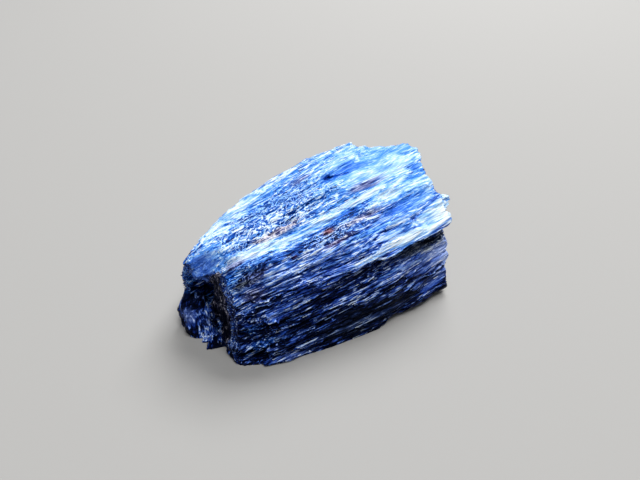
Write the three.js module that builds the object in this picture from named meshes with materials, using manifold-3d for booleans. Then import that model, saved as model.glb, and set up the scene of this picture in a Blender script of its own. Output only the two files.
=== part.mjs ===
// A chip of fibrous dumortierite: one mass of parallel, slightly fanning blue fibres, split off along
// the grain on its sides and snapped across the grain at both ends. It is one solid, in millimetres,
// with X along the fibres and Z up. The origin is under the middle of the chip, on the surface that
// it lies on.
import * as THREE from "three";
import { mergeVertices } from "three/addons/utils/BufferGeometryUtils.js";
import Module from "manifold-3d";

const { clamp, lerp, mapLinear, smoothstep } = THREE.MathUtils;

// ---- Driving dimensions ----
const THIN_END = -6.0; // X at which the fibres are snapped at the low, thin end
const GRAIN_LINES = 0.25; // spacing of the grain lines round the chip
const SECTIONS = 30; // stretches that the sides are made of, along the grain
const BREAK_CELL = 0.22; // mesh size of the broken faces at both ends

// Relief of the sides. Heights are in millimetres, and so are lengths along the grain; widths are
// counted in grain lines.
const SWELL = { height: 0.08, width: 9, length: 3.5 }; // broad swells
const SLAT = { height: 0.13, width: 4, length: 3.4, slant: 0.35 }; // flat bundles that split off as one
const SLAT_EDGE = { wander: 0.4, width: 6, length: 2 }; // how the edges between the slats wander
const FIBRE = { height: 0.06, width: 1.1, length: 2.5 }; // single fibres

// Roughness of the broken ends: height of each bump, and its size across and up.
const THIN_END_BUMPS = [
  { height: 0.09, across: 0.45, up: 0.45 },
  { height: 0.07, across: 0.2, up: 0.3 },
];
const THICK_END_BUMP = { height: 0.08, across: 0.25, up: 0.25 };
// Bundles of fibres that stand out of the thick end: width, how unevenly they are snapped, and how
// far their edges fall away.
const BUNDLE = { width: 0.75, uneven: 0.35, fall: 0.4 };

// X of the stations at which the edges are given. The first and last lie past the broken faces, which
// cut the chip to length.
const STATIONS = [-8.2, -6, -4.4, -0.5, 3, 9.6];

// Edges of the chip as [y, z] at each station. They run along the grain, in order round the section:
// up the front, over the top, down the back and under. What lies below zero is cut away, which leaves
// a broad flat sole.
const EDGES = [
  // foot, the front edge of the underside, raised a little towards the thick end
  [[-2.2, -0.2], [-2.95, -0.15], [-3.55, -0.15], [-4.35, -0.1], [-4.6, 0.25], [-4.0, 0.4]],
  // belly, the widest line of the front
  [[-2.0, 1.2], [-2.6, 1.2], [-3.35, 1.3], [-4.25, 1.4], [-4.4, 1.4], [-3.8, 1.4]],
  // sill, the upper edge of the front's lower half
  [[-1.8, 2.2], [-2.35, 2.3], [-3.1, 2.4], [-3.8, 2.5], [-3.9, 2.6], [-3.2, 2.6]],
  // hollow under the lip
  [[-1.5, 3.0], [-2.05, 3.05], [-2.75, 3.2], [-3.3, 3.5], [-3.1, 3.7], [-2.65, 3.95]],
  // lip, a sharp edge towards the thick end that dies out towards the thin end
  [[-1.1, 3.6], [-1.6, 3.8], [-2.35, 3.85], [-3.38, 3.95], [-3.72, 4.15], [-2.9, 4.4]],
  // crest, where the front rounds over into the top
  [[-0.5, 4.2], [-0.75, 4.6], [-1.4, 4.7], [-2.2, 4.8], [-2.4, 4.95], [-1.9, 5.15]],
  // crown, the middle of the top
  [[0.4, 4.0], [0.7, 4.75], [0.7, 5.05], [0.8, 5.45], [1.1, 5.8], [1.3, 6.05]],
  // shoulder, where the top rounds over into the back
  [[1.1, 3.7], [2.1, 4.25], [2.95, 4.5], [4.3, 5.0], [4.9, 5.5], [4.9, 5.85]],
  // brow, the upper edge of the back
  [[1.3, 3.0], [2.6, 3.4], [3.6, 3.6], [4.9, 3.9], [5.4, 4.3], [5.2, 4.6]],
  // back, a steep face that leans in below
  [[1.4, 1.4], [2.8, 1.7], [3.6, 1.8], [4.7, 2.0], [4.9, 2.2], [4.3, 2.4]],
  // heel, the back edge of the underside
  [[1.0, -0.2], [2.2, -0.2], [2.8, -0.2], [3.4, -0.1], [3.4, 0.1], [2.7, 0.4]],
  // keel, the lowest line of the underside
  [[-0.5, -0.3], [-0.5, -0.3], [-0.5, -0.3], [-0.5, -0.3], [-0.6, -0.25], [-0.7, -0.1]],
];

// What stands out of the thin end (reach above 0) or is broken out of it: centre in Y and Z, size
// across and up, lean of its long axis to the back, and how sharply its rim falls away.
const THIN_END_FORMS = [
  { name: "lobe", y: 0.75, z: 0.5, wide: 1.5, tall: 2.3, lean: 0.25, reach: 1.45, rim: 1.8 },
  { name: "lobe tip", y: -0.75, z: 0.0, wide: 0.65, tall: 0.75, lean: 0.1, reach: 1.5, rim: 1.6 },
  { name: "top slab", y: 1.0, z: 3.8, wide: 1.35, tall: 0.85, lean: 0, reach: 0.85, rim: 2 },
  { name: "neck", y: 1.6, z: 2.6, wide: 0.95, tall: 1.6, lean: 0, reach: 0.85, rim: 2 },
  { name: "heel of the front", y: -2.05, z: 0.2, wide: 1.0, tall: 1.0, lean: 0, reach: 0.35, rim: 2 },
  { name: "cavity", y: 0.7, z: 2.35, wide: 0.55, tall: 1.15, lean: 0.1, reach: -2.6, rim: 2.4 },
  { name: "crevice", y: -0.05, z: 0.95, wide: 0.36, tall: 1.5, lean: 0.75, reach: -1.6, rim: 1.9 },
];

// The thick end's line as [y, x], from the front to the back. Near the top it juts out behind the
// middle; lower down it reaches LOWER_REACH at most.
const THICK_END = [
  [-4.6, 6.7], [-3.5, 6.9], [-2.6, 7.3], [-0.9, 7.5], [0.2, 8.0],
  [1.9, 8.9], [2.9, 8.4], [3.3, 7.1], [4.2, 6.2], [5.6, 5.8],
];
const LOWER_REACH = 7.3;
const JUT_HEIGHTS = [3.5, 5.4]; // Z at which the jut begins, and above which it is whole

// Slabs and grooves lie along a line from one point to another. Width is across the slab, thickness
// is square to that, roll turns the width from level (0) towards upright, and taper gives the size of
// the first and the last section.
const SLABS = [
  { name: "lower ledge of the front", from: [1.8, -3.8, 1.9], to: [7.3, -3.45, 2.0],
    width: 1.9, thickness: 0.9, roll: 1.42, taper: [0.8, 0.8] },
  { name: "upper foot flake", from: [-5.0, -3.3, 0.75], to: [-1.2, -3.85, 0.85],
    width: 0.8, thickness: 0.45, roll: 1.0, taper: [0.6, 0.3] },
  { name: "lower foot flake", from: [-5.2, -3.45, 0.16], to: [-1.2, -3.95, 0.3],
    width: 0.9, thickness: 0.4, roll: 0.15, taper: [0.5, 0.3] },
];
const GROOVES = [
  { name: "notch above the foot", from: [-6.6, -2.65, 0.6], to: [-4.5, -3.35, 0.66],
    width: 0.55, thickness: 1.1, roll: 1.4, taper: [1, 0.2] },
  { name: "crack in the top", from: [1.7, 2.25, 5.68], to: [3.7, 1.9, 5.85],
    width: 0.22, thickness: 0.55, roll: 0, taper: [0.1, 0.9] },
];
const TIP = { name: "splinter of the thick end", from: [5.0, -2.0, 4.6], to: [8.3, -1.85, 4.65],
  width: 1.3, thickness: 0.6, roll: 0.7, taper: [0.3, 0.35] };

// Seeds that keep one kind of randomness apart from another.
const SEED = {
  slatEdge: 5, swell: 6, fibre: 8, slatSlant: 20, slatStart: 21, slatHeight: 22,
  thinEnd: 31, cellAcross: 33, cellUp: 34, bundleAcross: 41, bundleUp: 42, bundleStep: 43, thickEnd: 45,
};

const wasm = await Module();
wasm.setup();

// ---- Repeatable randomness ----

// A number from 0 to 1 that depends only on its whole-number arguments.
function hash(...keys) {
  let h = 2166136261;
  for (const key of keys) {
    h = Math.imul(h ^ (key + 1013), 16777619);
    h ^= h >>> 13;
  }
  h = Math.imul(h ^ (h >>> 15), 2246822507);
  return ((h ^ (h >>> 16)) >>> 0) / 4294967296;
}

// The same, spread evenly from low to high.
function between(low, high, ...keys) {
  return lerp(low, high, hash(...keys));
}

// Smooth noise from -1 to 1 over a plane.
function ripple(x, y, seed) {
  const [i, j] = [Math.floor(x), Math.floor(y)];
  const [u, v] = [smoothstep(x - i, 0, 1), smoothstep(y - j, 0, 1)];
  const low = lerp(hash(i, j, seed), hash(i + 1, j, seed), u);
  const high = lerp(hash(i, j + 1, seed), hash(i + 1, j + 1, seed), u);
  return 2 * lerp(low, high, v) - 1;
}

// ---- Between three.js and manifold-3d ----

// A solid from a closed mesh, turned right side out if its triangles point inwards.
function solidFrom(positions, index) {
  const geometry = new THREE.BufferGeometry();
  geometry.setAttribute("position", new THREE.Float32BufferAttribute(positions, 3));
  geometry.setIndex(index);
  const merged = mergeVertices(geometry, 1e-4);
  const mesh = {
    numProp: 3,
    vertProperties: merged.attributes.position.array,
    triVerts: new Uint32Array(merged.index.array),
  };
  const solid = new wasm.Manifold(new wasm.Mesh(mesh));
  return solid.volume() > 0 ? solid : solidFrom(positions, index.toReversed());
}

function boxFrom(low, high) {
  const size = high.map((value, axis) => value - low[axis]);
  const box = new THREE.BoxGeometry(...size);
  box.translate(...low.map((value, axis) => value + size[axis] / 2));
  return solidFrom(Array.from(box.attributes.position.array), Array.from(box.index.array));
}

function geometryFrom(solid) {
  const { vertProperties, triVerts } = solid.getMesh();
  const geometry = new THREE.BufferGeometry();
  geometry.setAttribute("position", new THREE.BufferAttribute(new Float32Array(vertProperties), 3));
  geometry.setIndex(new THREE.BufferAttribute(new Uint32Array(triVerts), 1));
  geometry.computeVertexNormals();
  return geometry;
}

// Joins closed loops of the same number of points into a solid, with a flat fan over each end.
function loft(loops) {
  const n = loops[0].length;
  const positions = loops.flat(2);
  const hubs = [loops[0], loops[loops.length - 1]].map((loop) =>
    [0, 1, 2].map((axis) => loop.reduce((sum, point) => sum + point[axis] / n, 0)),
  );
  positions.push(...hubs.flat());
  const index = [];
  const startHub = loops.length * n;
  const lastLoop = startHub - n;
  for (let j = 0; j < n; j++) {
    const next = (j + 1) % n;
    index.push(startHub, next, j);
    index.push(startHub + 1, lastLoop + j, lastLoop + next);
    for (let row = 0; row < lastLoop; row += n) {
      index.push(row + j, row + next, row + n + next);
      index.push(row + j, row + n + next, row + n + j);
    }
  }
  return solidFrom(positions, index);
}

// ---- The sides: grain lines along the edges of the chip ----

// Y and Z of an edge at x, on a smooth curve through its stations.
function edgeAt(edge, x) {
  const last = STATIONS.length - 1;
  let k = 1;
  while (k < last && x > STATIONS[k]) k++;
  const [i, j] = [Math.max(k - 2, 0), Math.min(k + 1, last)];
  const span = STATIONS[k] - STATIONS[k - 1];
  const f = (x - STATIONS[k - 1]) / span;
  return [0, 1].map((axis) => {
    const [before, from, to, after] = [i, k - 1, k, j].map((station) => edge[station][axis]);
    const leave = ((to - before) / (STATIONS[k] - STATIONS[i])) * span;
    const arrive = ((after - from) / (STATIONS[j] - STATIONS[k - 1])) * span;
    const rise = to - from;
    const bend = leave + arrive - 2 * rise;
    return from + f * (leave + f * (3 * rise - 2 * leave - arrive + f * bend));
  });
}

// The number of grain lines between each edge and the next, the same at every section: as many as
// fit where the chip is broad.
const LINES_BETWEEN = EDGES.map((edge, k) => {
  const broad = 2;
  const [y0, z0] = edgeAt(edge, broad);
  const [y1, z1] = edgeAt(EDGES[(k + 1) % EDGES.length], broad);
  return Math.max(1, Math.round(Math.hypot(y1 - y0, z1 - z0) / GRAIN_LINES));
});

function plainSection(x) {
  return EDGES.flatMap((edge, k) => {
    const [y0, z0] = edgeAt(edge, x);
    const [y1, z1] = edgeAt(EDGES[(k + 1) % EDGES.length], x);
    return Array.from({ length: LINES_BETWEEN[k] }, (_, i) => {
      const f = i / LINES_BETWEEN[k];
      return [lerp(y0, y1, f), lerp(z0, z1, f)];
    });
  });
}

// How far a grain line stands out: broad swells, slats of several lines that are broken off
// slantwise at places of their own, and single fibres on them.
function relief(line, x) {
  const wander = SLAT_EDGE.wander * ripple(x / SLAT_EDGE.length, line / SLAT_EDGE.width, SEED.slatEdge);
  const slat = Math.floor(line / SLAT.width + wander);
  const slantwise = hash(slat, SEED.slatSlant) < 0.5 ? SLAT.slant : -SLAT.slant;
  const start = between(0, 7, slat, SEED.slatStart);
  const piece = Math.floor((x + slantwise * (line - slat * SLAT.width)) / SLAT.length + start);
  const swell = SWELL.height * ripple(line / SWELL.width, x / SWELL.length, SEED.swell);
  const fibre = FIBRE.height * ripple(line / FIBRE.width, x / FIBRE.length, SEED.fibre);
  return swell + between(-SLAT.height, SLAT.height, slat, piece, SEED.slatHeight) + fibre;
}

// A section with its relief, which pushes each point out square to the surface.
function roughSection(x) {
  const plain = plainSection(x);
  const n = plain.length;
  return plain.map(([y, z], j) => {
    const [ya, za] = plain[(j + n - 1) % n];
    const [yb, zb] = plain[(j + 1) % n];
    const push = relief(j, x) / Math.hypot(yb - ya, zb - za);
    return [x, y + (zb - za) * push, z - (yb - ya) * push];
  });
}

function sides() {
  const [start, end] = [STATIONS[0], STATIONS.at(-1)];
  const at = (i) => lerp(start, end, i / SECTIONS);
  return loft(Array.from({ length: SECTIONS + 1 }, (_, i) => roughSection(at(i))));
}

// ---- The broken ends ----

// A block on one side of a rough face x = face(y, z), that reaches to the plane x = far. It is wider
// and taller than the chip, and its mesh is uneven, so that its facets run in no direction.
function brokenBlock(face, far) {
  const [front, back, under, over] = [-5.4, 6.4, -0.8, 7.0];
  const uneven = 0.35;
  const columns = Math.round((back - front) / BREAK_CELL);
  const rows = Math.round((over - under) / BREAK_CELL);
  const positions = [];
  const index = [];
  const stride = (columns + 1) * (rows + 1);
  for (const flat of [false, true]) {
    for (let r = 0; r <= rows; r++) {
      for (let c = 0; c <= columns; c++) {
        const y = front + BREAK_CELL * (c + between(-uneven, uneven, r, c, SEED.cellAcross));
        const z = under + BREAK_CELL * (r + between(-uneven, uneven, r, c, SEED.cellUp));
        positions.push(flat ? far : face(y, z), y, z);
      }
    }
  }
  const quad = (a, b, c, d) => index.push(a, b, c, a, c, d);
  for (let r = 0; r < rows; r++) {
    for (let c = 0; c < columns; c++) {
      const a = r * (columns + 1) + c;
      const b = a + columns + 1;
      quad(a, b, b + 1, a + 1);
      quad(stride + a, stride + a + 1, stride + b + 1, stride + b);
    }
  }
  for (let c = 0; c < columns; c++) {
    const top = rows * (columns + 1) + c;
    quad(c, c + 1, stride + c + 1, stride + c);
    quad(top, stride + top, stride + top + 1, top + 1);
  }
  for (let r = 0; r < rows; r++) {
    const a = r * (columns + 1);
    const b = a + columns + 1;
    quad(a, stride + a, stride + b, b);
    quad(a + columns, b + columns, stride + b + columns, stride + a + columns);
  }
  return solidFrom(positions, index);
}

// The reach of one form of the thin end at y, z.
function formReach(form, y, z) {
  const up = (z - form.z) / form.tall;
  const across = (y - form.y - form.lean * (z - form.z)) / form.wide;
  return form.reach * clamp((1 - Math.hypot(across, up)) * form.rim, 0, 1);
}

// Height of a bump's noise at y, z.
function bumpAt(bump, y, z, seed) {
  return bump.height * ripple(y / bump.across, z / bump.up, seed);
}

function thinEndFace(y, z) {
  const reaches = THIN_END_FORMS.map((form) => formReach(form, y, z));
  const bumps = THIN_END_BUMPS.map((bump, k) => bumpAt(bump, y, z, SEED.thinEnd + k));
  return THIN_END - Math.max(0, ...reaches) - Math.min(0, ...reaches) + bumps[0] + bumps[1];
}

// The bundle of fibres that the point y, z of the thick end belongs to: how far out from its middle
// the point is, in bundle widths, and how far the bundle stands out.
function bundleAt(y, z) {
  const [row, column] = [Math.floor(z / BUNDLE.width), Math.floor(y / BUNDLE.width)];
  let nearest = { away: Infinity };
  for (const r of [row - 1, row, row + 1]) {
    for (const c of [column - 1, column, column + 1]) {
      const across = c + hash(r, c, SEED.bundleAcross) - y / BUNDLE.width;
      const up = r + hash(r, c, SEED.bundleUp) - z / BUNDLE.width;
      const away = Math.hypot(across, up);
      const step = between(-BUNDLE.uneven, BUNDLE.uneven, r, c, SEED.bundleStep);
      if (away < nearest.away) nearest = { away, step };
    }
  }
  return nearest;
}

// Bundles are snapped at lengths of their own, with rounded tops and grooves between them. The jut at
// the top is broken more evenly than the face below it.
function thickEndFace(y, z) {
  const calm = 0.3;
  const { away, step } = bundleAt(y, z);
  const broken = step - BUNDLE.fall * away + bumpAt(THICK_END_BUMP, y, z, SEED.thickEnd);
  let k = 1;
  while (k < THICK_END.length - 1 && y > THICK_END[k][0]) k++;
  const [[y0, x0], [y1, x1]] = [THICK_END[k - 1], THICK_END[k]];
  const reach = mapLinear(y, y0, y1, x0, x1);
  const high = smoothstep(z, ...JUT_HEIGHTS);
  return lerp(Math.min(reach, LOWER_REACH) + broken, reach + calm * broken, high);
}

// ---- Slabs and grooves ----

// A flat slab with tapered ends. Its section is a lozenge with cut corners.
function sliver({ from, to, width, thickness, roll, taper }) {
  const start = new THREE.Vector3(...from);
  const end = new THREE.Vector3(...to);
  const along = end.clone().sub(start).normalize();
  const side = new THREE.Vector3(0, Math.cos(roll), Math.sin(roll));
  side.addScaledVector(along, -side.dot(along)).normalize();
  const up = new THREE.Vector3().crossVectors(along, side);
  const corners = [[-0.5, 0], [-0.2, -0.5], [0.35, -0.5], [0.5, 0], [0.1, 0.5]];
  const loops = [[0, taper[0]], [0.3, 1], [0.75, 0.9], [1, taper[1]]].map(([t, size]) =>
    corners.map(([a, b]) => {
      const point = start.clone().lerp(end, t);
      point.addScaledVector(side, a * width * size);
      return point.addScaledVector(up, b * thickness * size).toArray();
    }),
  );
  return loft(loops);
}

// ---- The chip ----

function chip() {
  const beyond = 20; // past the chip on every side
  let mass = sides();
  for (const slab of SLABS) mass = mass.add(sliver(slab));
  for (const groove of GROOVES) mass = mass.subtract(sliver(groove));
  mass = mass.subtract(brokenBlock(thinEndFace, -beyond));
  mass = mass.subtract(brokenBlock(thickEndFace, beyond)).add(sliver(TIP));
  return mass.intersect(boxFrom([-beyond, -beyond, 0], [beyond, beyond, beyond]));
}

const dumortierite = new THREE.MeshStandardMaterial({ color: 0x3a62b8, roughness: 0.5, metalness: 0 });
const cluster = new THREE.Mesh(geometryFrom(chip()), dumortierite);
cluster.name = "dumortierite_cluster";
cluster.geometry.computeBoundingBox();
const middle = cluster.geometry.boundingBox.getCenter(new THREE.Vector3());
cluster.position.set(-middle.x, -middle.y, 0);

const part = new THREE.Group();
part.add(cluster);
export default part;
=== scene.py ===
# %% [markdown]
# # A chip of fibrous dumortierite
# Dumortierite is a hard blue mineral. It often grows as a mass of needle-thin crystals that lie side
# by side like the fibres of wood. A loose chip of it splits along the fibres, so its sides are ridged
# and silky, and it snaps across them, so its ends are rough. This script dresses the plain solid of
# such a chip, 16 mm long: first its surface, then its colours, then thousands of loose splinters.

# %% Load the solid as a fixed frame
import functools
import itertools
import math

import bmesh
import bpy
import numpy as np
from mathutils import Euler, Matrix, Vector
from mathutils.bvhtree import BVHTree


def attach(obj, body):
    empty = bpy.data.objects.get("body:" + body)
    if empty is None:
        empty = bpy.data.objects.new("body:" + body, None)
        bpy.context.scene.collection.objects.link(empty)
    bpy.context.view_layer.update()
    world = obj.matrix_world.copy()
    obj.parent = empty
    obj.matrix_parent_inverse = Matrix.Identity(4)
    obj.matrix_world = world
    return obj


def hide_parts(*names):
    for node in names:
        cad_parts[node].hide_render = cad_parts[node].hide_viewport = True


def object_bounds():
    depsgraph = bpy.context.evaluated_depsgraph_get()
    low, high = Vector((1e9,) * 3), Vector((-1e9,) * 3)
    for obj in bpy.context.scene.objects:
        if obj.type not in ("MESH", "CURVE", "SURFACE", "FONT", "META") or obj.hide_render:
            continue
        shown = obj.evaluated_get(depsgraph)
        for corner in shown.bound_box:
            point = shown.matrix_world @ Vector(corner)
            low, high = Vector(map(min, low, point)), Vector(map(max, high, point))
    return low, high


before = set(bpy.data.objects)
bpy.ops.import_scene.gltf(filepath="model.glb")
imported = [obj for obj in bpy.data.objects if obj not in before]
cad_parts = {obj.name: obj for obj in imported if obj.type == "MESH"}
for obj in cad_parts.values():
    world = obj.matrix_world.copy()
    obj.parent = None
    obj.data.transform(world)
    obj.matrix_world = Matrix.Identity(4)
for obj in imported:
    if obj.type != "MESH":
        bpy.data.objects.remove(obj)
solid_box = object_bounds()
MM = 0.001  # the shapes are worked out in millimetres and turned to metres when they are finished
low, high = [np.array(corner) / MM for corner in solid_box]
print("the chip measures", np.round(high - low, 2), "mm")

# %% [markdown]
# ## The camera
# The camera comes first, so that everything after it can be judged by looking. It stands over the
# low, thin end of the chip and looks along it, close enough to see single fibres, and it leans a
# little, as a hand-held camera does. Three angles and a distance are easier to change than a matrix.

# %% Camera
CAMERA_AIM = Vector((0.04, -0.01, 3.02)) * MM
CAMERA_DISTANCE = 30.43 * MM
CAMERA_AZIMUTH = math.radians(-38.9)
CAMERA_ELEVATION = math.radians(38.3)
CAMERA_ROLL = math.radians(5.4)
CAMERA_FIELD = math.radians(60.9)  # across the picture


def look_from(azimuth, elevation, roll=0.0):
    """The turn of something that looks down at the chip from that side: azimuth 0 looks along +Y."""
    turn = Euler((math.pi / 2 - elevation, 0, azimuth)).to_quaternion()
    return turn @ Euler((0, 0, roll)).to_quaternion()


def place(name, data, aim, distance, turn):
    """Adds a camera or a lamp that looks at a point from a distance."""
    item = bpy.data.objects.new(name, data)
    bpy.context.scene.collection.objects.link(item)
    item.rotation_mode = "QUATERNION"
    item.rotation_quaternion = turn
    item.location = aim + turn @ Vector((0, 0, distance))
    return item


lens = bpy.data.cameras.new("camera")
lens.angle = CAMERA_FIELD
lens.clip_start = 1 * MM
lens.clip_end = 2
camera_turn = look_from(CAMERA_AZIMUTH, CAMERA_ELEVATION, CAMERA_ROLL)
camera = place("camera", lens, CAMERA_AIM, CAMERA_DISTANCE, camera_turn)
bpy.context.scene.camera = camera
print("camera at", np.round(np.array(camera.location) / MM, 1), "mm")

# %% [markdown]
# ## Where the fibres run
# Every ridge, splinter and streak follows the fibres, so their course is worked out once. They run
# along X, fan out a little towards the back and rise a little more there. The front bulges, and the
# fibres near it bend away backwards and down on both sides of its middle. At the thin end a small lobe
# and a dark weathered strip have fibres of their own, which hang down. Two functions say so: one gives
# the direction of the fibre through a point, and the other gives coordinates in which all the fibres
# are straight. A pattern drawn in those coordinates then follows the fibres by itself.

# %% The course of the fibres
FRONT = -3.9  # Y of the fibres at the front, in mm like every length here
FAN = 0.0215  # turn towards the back for each millimetre behind the front
RISE = 0.07  # climb of the front fibres
RISE_BEHIND = 0.0105  # what the climb gains for each millimetre behind the front
BULGE_MIDDLE = 1.5  # X where the front stands out most: the fibres there bend away on both sides,
BULGE_BACK = 0.012  # backwards by this times the square of the distance from there
BULGE_DOWN = 0.008  # and downwards by this
BULGE_DEPTH, DEPTH_FADE = 2.3, 1.2  # the bend ends this far behind the front, and fades over this;
BULGE_TOP, TOP_FADE = 4.7, 0.8  # it ends at this height, and fades over this

THIN_END = -6.55  # X at which the fibres of the chip are snapped
THIN_SIDE = -5.0  # X below which a broken face belongs to the thin end
LOBE_START = THIN_END - 0.3  # X beyond which a point is on the lobe,
LOBE_TOP = 1.9  # where it is below this Z
STRIP_END = THIN_END - 0.35  # X that the weathered strip doesn't pass
STRIP = [
    # edges of the weathered strip up the thin end: Z, then Y of its back and front edges
    (-0.5, -1.35, -2.2), (1.09, -1.1, -2.1), (1.15, -0.05, -2.1), (3.27, -0.05, -1.6), (4.35, -0.8, -1.1),
]
HANGING = np.array([(-0.15, -0.3, -0.94), (-0.2, 0.94, -0.27), (0.97, 0.15, -0.2)])
HANGING /= np.linalg.norm(HANGING, axis=1, keepdims=True)  # along, across and through those fibres
LOBE_PATTERN = (2.4, 0.6, 0.6)  # the fibres of the lobe are broken shorter, and lie in thicker lumps


def straight_course(points):
    """Coordinates in millimetres in which the chip's own fibres run straight along the first axis."""
    x, y, z = points.T
    behind = (y - FRONT) * np.exp(-FAN * x)
    return np.stack([x, FRONT + behind, z - x * (RISE + RISE_BEHIND * (y - FRONT))], axis=1)


def on_strip(points):
    """Whether each point is on the weathered strip up the thin end."""
    x, y, z = points.T
    heights, backs, fronts = zip(*STRIP)
    across = (y < np.interp(z, heights, backs)) & (y > np.interp(z, heights, fronts))
    return (x < THIN_END) & (x > STRIP_END) & across & (z < heights[-1])


def on_lobe(points):
    """Whether each point is on the lobe."""
    return (points[:, 0] < LOBE_START) & (points[:, 2] < LOBE_TOP) & ~on_strip(points)


def bulge_of(points):
    """How far the fibres through each point have bent away with the front, and how fast they do."""
    x, y, z = points.T
    off_middle = x - BULGE_MIDDLE
    behind = y - FRONT - BULGE_BACK * off_middle**2
    near = np.clip((BULGE_DEPTH - behind) / DEPTH_FADE, 0, 1) * np.clip((BULGE_TOP - z) / TOP_FADE, 0, 1)
    return near * off_middle**2, near * 2 * off_middle


def fibre_direction(points):
    """The direction of the fibre through each point, with length 1."""
    behind = points[:, 1] - FRONT
    bending = bulge_of(points)[1]
    turn = FAN * behind + BULGE_BACK * bending
    climb = RISE + RISE_BEHIND * behind - BULGE_DOWN * bending
    course = np.stack([np.ones_like(behind), turn, climb], axis=1)
    course /= np.linalg.norm(course, axis=1, keepdims=True)
    hangs = on_strip(points) | on_lobe(points)
    return np.where(hangs[:, None], HANGING[0], course)


def along_fibres(points):
    """Coordinates in millimetres in which every fibre runs straight along the first axis."""
    course = straight_course(points)
    course[:, 1] -= BULGE_BACK * bulge_of(points)[0]
    course[:, 2] += BULGE_DOWN * bulge_of(points)[0]
    course = np.where(on_strip(points)[:, None], points @ HANGING.T, course)
    return np.where(on_lobe(points)[:, None], points @ HANGING.T * LOBE_PATTERN, course)


back_turn = math.degrees(math.atan(FAN * (high[1] - FRONT)))
print("the fibres at the back turn", round(back_turn, 1), "degrees")

# %% [markdown]
# ## Randomness that repeats
# Broken mineral looks random, but the script has to give the same chip each time. A hash turns the
# whole-numbered cell that a point lies in into a number, with no generator that could be in another
# state next time. Smooth noise blends the numbers of neighbouring cells. Bundles are the cells round
# scattered centres: stretched along the fibres, they break up a surface as fibrous crystal splits.

# %% Noise and bundles
CORNERS = np.array(list(itertools.product((0, 1), repeat=3)), float)
NEIGHBOURS = np.array(list(itertools.product((-1, 0, 1), repeat=3)), float)
MIXER = np.uint64(0x9E3779B97F4A7C15)  # 2 to the power 64, over the golden ratio: it mixes bits well


def scatter(seed, cells):
    """A number from 0 to 1 for each row of whole numbers."""
    mixed = np.full(len(cells), seed + 1, np.uint64)
    for column in cells.T:
        mixed = (mixed ^ column.astype(np.int64).astype(np.uint64)) * MIXER
        mixed ^= mixed >> np.uint64(29)
    return (mixed >> np.uint64(40)).astype(float) / 2**24  # its 24 highest bits


def noise(points, size, seed):
    """Smooth noise from -1 to 1, with bumps of that size along each axis."""
    grid = points / np.array(size)
    cell = np.floor(grid)
    part = grid - cell
    part = part * part * (3 - 2 * part)
    blend = sum(
        np.prod(np.where(corner, part, 1 - part), axis=1) * scatter(seed, cell + corner)
        for corner in CORNERS
    )
    return 2 * blend - 1


def waves(points, pattern):
    """Noise with the size, height and seed of a pattern."""
    return pattern["height"] * noise(points, pattern["size"], pattern["seed"])


def bundles(points, size, seed):
    """The bundle each point is in: a number of its own from 0 to 1, and how deep inside it the point is."""
    grid = points / np.array(size)
    cell = np.floor(grid)
    nearest = np.full(len(points), np.inf)
    second = nearest.copy()
    own = np.zeros(len(points))
    for offset in NEIGHBOURS:
        there = cell + offset
        centre = there + np.stack([scatter(seed + axis, there) for axis in range(3)], axis=1)
        away = np.linalg.norm(grid - centre, axis=1)
        closer = away < nearest
        second = np.where(closer, nearest, np.minimum(second, away))
        own = np.where(closer, scatter(seed + 3, there), own)
        nearest = np.where(closer, away, nearest)
    return own, second - nearest


def smooth_step(value, start, end):
    """0 up to the start, 1 from the end on, and a smooth rise between."""
    part = np.clip((value - start) / (end - start), 0, 1)
    return part * part * (3 - 2 * part)


WAVE = {"size": (2.6, 1.1, 1.1), "height": 0.16, "seed": 40}  # mm: the fibres aren't quite straight


def wavy_course(points):
    """The same coordinates, with the gentle waves that real fibres have."""
    course = along_fibres(points)
    for axis in (1, 2):
        course[:, axis] += WAVE["height"] * noise(course, WAVE["size"], WAVE["seed"] + axis)
    return course


sample = along_fibres(np.array([low, (low + high) / 2, high]))
print("bundles at three points:", np.round(bundles(sample, (3, 0.4, 0.4), 1)[0], 2))

# %% [markdown]
# ## The surface of the chip
# The solid has the right form but only a few thousand facets. Its skin is remeshed into small even
# faces, and each point is then moved in or out by what a split surface has at several sizes. The mesh
# is squeezed along the fibres while it is remeshed, so its faces come out four times as long as they
# are wide: a fibre needs many points across it and few along it. The flat underside has nothing to
# show, so its small faces are taken out and the hole is closed with large ones.

# %% Meshes as arrays
SQUEEZE = 0.25  # along the fibres, while the skin is remeshed
FACE_WIDTH = 0.046  # mm
WELD_GAP = 1e-4  # mm


def points_of(mesh):
    flat = np.empty(len(mesh.vertices) * 3, np.float32)
    mesh.vertices.foreach_get("co", flat)
    return flat.reshape(-1, 3).astype(float)


def move_points(mesh, points):
    mesh.vertices.foreach_set("co", points.astype(np.float32).ravel())
    mesh.update()


def normals_of(mesh):
    flat = np.empty(len(mesh.vertices) * 3, np.float32)
    mesh.vertex_normals.foreach_get("vector", flat)
    return flat.reshape(-1, 3).astype(float)


def triangles_in(mesh):
    mesh.calc_loop_triangles()
    return len(mesh.loop_triangles)


def frozen(item, name):
    """The mesh of an object with its modifiers applied."""
    graph = bpy.context.evaluated_depsgraph_get()
    mesh = bpy.data.meshes.new_from_object(item.evaluated_get(graph))
    mesh.name = name
    return mesh


def add_object(name, mesh):
    item = bpy.data.objects.new(name, mesh)
    bpy.context.scene.collection.objects.link(item)
    return item


print("faces are", FACE_WIDTH, "mm wide and", round(FACE_WIDTH / SQUEEZE, 2), "mm long")


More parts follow.
